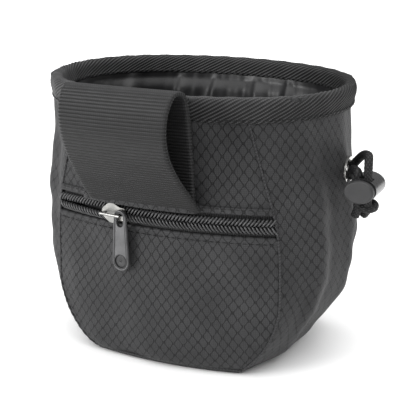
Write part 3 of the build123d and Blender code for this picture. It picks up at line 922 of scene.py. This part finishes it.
def zip_coil(side):
    """Row of nylon turns. Each turn's head lies on the middle line and leans left."""
    turns = int(2 * ZIP_END / COIL_PITCH)
    lean, filament = 1.45, 0.37
    angle = np.linspace(0, 2 * pi * turns, turns * 16)
    along = COIL_PITCH * angle / (2 * pi) - lean * (np.cos(angle) - 1) / 2 - ZIP_END
    rise = 1.48 - 1.3 * np.cos(angle)
    out = 0.15 + 0.85 * np.sin(angle)
    shift = 0.0 if side > 0 else COIL_PITCH / 2
    return tube(zip_line(along + shift, side * (rise + parted(along)), out), filament, 6)


def zip_rows():
    """The upper and the lower tape, each with its row of turns."""
    for side, word in ((1, "upper"), (-1, "lower")):
        add_piece("zip_tape_cloth_" + word, zip_tape(side), "zip_tape", "zip_tape_" + word)
        add_piece("zip_turns_" + word, zip_coil(side), "zip_coil", "zip_coil_" + word)


def hem_band():
    """Doubled cloth sewn along the zip's upper edge, over the foot of the belt loop."""
    t = np.linspace(-0.995, 0.995, 170)[:, None]
    middle, run = wall("front", t, np.array([70.0]))
    x = middle[..., 0]
    # 1 under the webbing, rising steeply past its edges
    left, right = [1 + np.exp(2.2 * gap) for gap in (LOOP_LEFT - 0.5 - x, x - LOOP_RIGHT - 0.5)]
    lift = 3.3 / (left * right) + 0.08 * np.sin(x * 1.9)
    out, z = smooth_line([
        (0.15, 68.55), (0.55, 68.5), (0.95, 68.9), (1.05, 69.8), (0.95, 70.8), (0.5, 71.2),
        (0.1, 71.1)], 20).T
    face = wall("front", t, z, out + lift)[0]
    rear = wall("front", t, z[::-1], (np.minimum(out, 0.9) * 0.15)[::-1] + lift - 0.25)[0]
    loops = np.concatenate([face, rear], 1)
    u = np.repeat(run, loops.shape[1] + 1, axis=1)
    add_piece("zip_hem_band", skin(loops, u, closed(loops[..., 2])), "outer_cloth")
    row = wall("front", t[:, 0], 70.5, 1.02 + lift[:, 0])[0]
    fold = wall("front", t[:, 0], 56.7, 0.05)[0]
    parts = [stitches(row, STITCH, 1.8, 0.2), stitches(fold, STITCH, 1.8, 0.18)]
    add_piece("zip_stitches", joined(parts), "cord")


def at_slider(points):
    """From the slider's own frame, whose middle is on the cloth, to its rest place."""
    x, y, z = np.moveaxis(points, -1, 0)
    side, ahead = sin(SLIDER_TURN), cos(SLIDER_TURN)
    y = y - ZIP_R
    turned = [x * ahead - y * side, ZIP_R - ZIP_FACE + x * side + y * ahead, z + ZIP_Z]
    return np.stack(turned, -1)


def tab_outline(inset):
    """Closed line round the tab's face, inset from its edge."""
    top, end = TAB_TOP - TAB_TOP_R, TAB_TOP - TAB_LEN + TAB_END_R
    over = np.linspace(0, pi, 24)
    under = np.linspace(pi, 2 * pi, 30)
    a, b = TAB_TOP_R - inset, TAB_END_R - inset
    x = np.concatenate([a * np.cos(over), b * np.cos(under)])
    z = np.concatenate([top + a * np.sin(over), end + b * np.sin(under)])
    line = even(np.stack([np.append(x, x[0]), np.append(z, z[0])], -1), CORD_STEP)[0][:-1]
    return np.stack([TAB_X + line[:, 0], np.full(len(line), TAB_FACE), line[:, 1]], -1)


def tab_trim():
    """Raised lip round the pull tab, the dark line inside it, and the enamelled spot."""
    lip = tube(at_slider(tab_outline(0.34)), 0.26, 8, ring=True)
    add_piece("pull_tab_lip", lip, "pull_tab_metal", body="tab")
    line = tube(at_slider(tab_outline(0.85) + np.array([0, 0.08, 0])), 0.17, 8, ring=True)
    turn = np.linspace(0, 2 * pi, 48, endpoint=False)
    circle = np.stack([np.cos(turn), 0 * turn, np.sin(turn)], -1)
    centre = np.array([TAB_X, TAB_FACE, TAB_TOP - TAB_LEN + TAB_END_R])
    edge = tube(at_slider(centre + SPOT_R * circle), 0.2, 8, ring=True)
    # the spot's surface, from its edge to its middle: how far out and how deep each ring lies
    dish = np.stack([
        centre + reach * circle + np.array([0, depth, 0])
        for reach, depth in ((2.7, 0.3), (2.0, 0.22), (1.0, 0.3), (0.05, 0.3))], 1)
    loops = at_slider(np.concatenate([dish, dish[:, ::-1] + np.array([0, 0.09, 0])], 1))
    u = np.repeat(np.linspace(0, 2 * pi * SPOT_R, 49)[:, None], 9, axis=1)
    spot = skin(loops, u, np.repeat(np.arange(9.0)[None], 48, axis=0), ring=True)
    add_piece("pull_tab_enamel", joined([line, edge, spot]), "lock_button", body="tab")


# ------------------------------------------------------------------ belt loop

def belt_webbing():
    """Webbing up the wall, over at the rim and down again, fuller at its right edge."""
    count = 900
    line = smooth_line(LOOP_LINE, count)
    step = distance(line)
    along = step / step[-1]
    normal = line_normal(line, step)
    # the webbing's section, round its edge: places across from -1 to 1, and from back to face
    flat, edge = np.linspace(-1, 1, 40), np.array([0.5, 0.0, -0.5])
    width = np.concatenate([flat, [1.0] * 3, flat[::-1], [-1.0] * 3])
    height = np.concatenate([np.ones(40), edge, -np.ones(40), edge[::-1]])
    centre, half = (LOOP_LEFT + LOOP_RIGHT) / 2, (LOOP_RIGHT - LOOP_LEFT) / 2
    rib = 0.14 * np.sin(2 * pi * step[:, None] / WEB_RIB)
    selvedge = np.clip((1 - np.abs(width[None])) * half / 1.2, 0.55, 1)
    push = height[None] * (WEB / 2 * selvedge + rib * height[None] ** 2)
    fullness = np.sin(np.clip((along - 0.42) / 0.58, 0, 1) * pi)[:, None] ** 1.3
    skew = width[None] * fullness
    hang = 2.6 * np.clip((along - 0.55) / 0.4, 0, 1)[:, None] ** 1.6
    x = centre + half * width[None] * (1 - 0.01 * fullness) + hang
    bow = 0.9 * fullness * (1 - width[None] ** 2)
    y = line[:, :1] + push * normal[:, :1] - 3.6 * skew - bow
    z = line[:, 1:] + push * normal[:, 1:] + 1.0 * skew
    # the strip against the wall follows the wall's own curve and that of the rim
    level = np.clip(line[:, 1:2], 0, HEIGHT)
    mean = wall("front", 0.0, level)[0][..., 1]
    here = wall("front", np.clip(x / 60, -1, 1), level)[0][..., 1]
    against = np.clip((0.5 - along) / 0.1, 0, 1) + np.clip((along - 0.93) / 0.07, 0, 1)
    loops = np.stack([x, y + (here - mean) * against[:, None], z], -1)
    u = np.repeat(np.append(width, width[0])[None] * half, count, axis=0)
    v = np.repeat(step[:, None], loops.shape[1] + 1, axis=1)
    add_piece("belt_webbing", skin(loops, u, v), "webbing", "belt_loop")


# ------------------------------------------------------------------ drawcord

def cord_line(name, points):
    """Points along the smooth curve that a route's points steer, in metres."""
    curve = bpy.data.curves.new(name, "CURVE")
    curve.dimensions = "3D"
    curve.resolution_u = 12
    spline = curve.splines.new("NURBS")
    spline.points.add(len(points) - 1)
    for spot, place in zip(spline.points, points):
        spot.co = (*[c * MM for c in place], 1.0)
    spline.order_u = 3
    spline.use_endpoint_u = True
    carrier = bpy.data.objects.new(name, curve)
    bpy.context.collection.objects.link(carrier)
    bpy.context.view_layer.update()
    mesh = bpy.data.meshes.new_from_object(carrier)
    line = np.array([v.co for v in mesh.vertices])
    bpy.data.objects.remove(carrier)
    bpy.data.meshes.remove(mesh)
    return line


def strand(name, node_name, points):
    """One end of the drawcord. Returns its piece, its line and its length, in metres."""
    line, length = even(cord_line(name, points) / MM, CORD_STEP)
    mesh = tube(line, CORD_D / 2, 24, relief=braid)
    return add_piece(name, mesh, "cord", node_name, body="cord_end"), line * MM, length * MM


def tied_knot():
    """The cord's own turns, pulled tight round both strands."""
    turn = np.linspace(-0.3, 2 * pi * KNOT_TURNS, 90)
    part = turn / turn[-1]
    path = np.array(KNOT) + np.stack([
        3.1 * np.cos(turn + 0.9), 2.9 * np.sin(turn + 0.9), 1.9 * part + 0.5 * np.sin(turn)], -1)
    swell = CORD_D / 2 * np.clip(1.02 - 0.5 * np.abs(2 * part - 1) ** 8, 0.2, 1.1)
    mesh = tube(path, swell, 20, relief=braid)
    return add_piece("drawcord_knot", mesh, "cord", "cord_knot", body="cord_end")


def drawcord_ends():
    """Both ends of the drawcord, which meet in one knot. The lock, which the upper end carries,
    stays where it is and is not tied to that end here.
    """
    knot = tied_knot()
    lock = bpy.data.objects["cord_lock_body"]
    upper, lower = ("upper", UPPER_ROUTE, [knot, lock]), ("lower", LOWER_ROUTE, [knot])
    for name, points, tied in (upper, lower):
        obj, line, length = strand("drawcord_" + name + "_end", "drawcord_strand_" + name, points)


# ------------------------------------------------------------------ the whole scene

def finish_cad_nodes():
    """The hard parts keep their CAD shapes and get their finishes."""
    for entry in frame["record"]["subparts"]:
        obj = frame["nodes"][entry["node"]]
        obj.data.materials.clear()
        obj.data.materials.append(materials[entry["material_slot"]])


def floor():
    """Sheet of white paper, a little below the foot so that the two don't share a plane."""
    data = bpy.data.meshes.new("studio_floor")
    reach, level = 3.0, -0.0003
    corners = [(-reach, -reach), (reach, -reach), (reach, reach), (-reach, reach)]
    data.from_pydata([(x, y, level) for x, y in corners], [], [(0, 1, 2, 3)])
    data.materials.append(paper_floor("white_studio_paper"))
    obj = bpy.data.objects.new("studio_floor", data)
    bpy.context.collection.objects.link(obj)


materials = make_materials()
camera()
studio()
floor()
finish_cad_nodes()
cloth_body()
seams()
binding()
binding_stitches()
lining()
pocket_cloth()
channel_sleeve()
hidden_cord()
zip_rows()
hem_band()
tab_trim()
belt_webbing()
drawcord_ends()
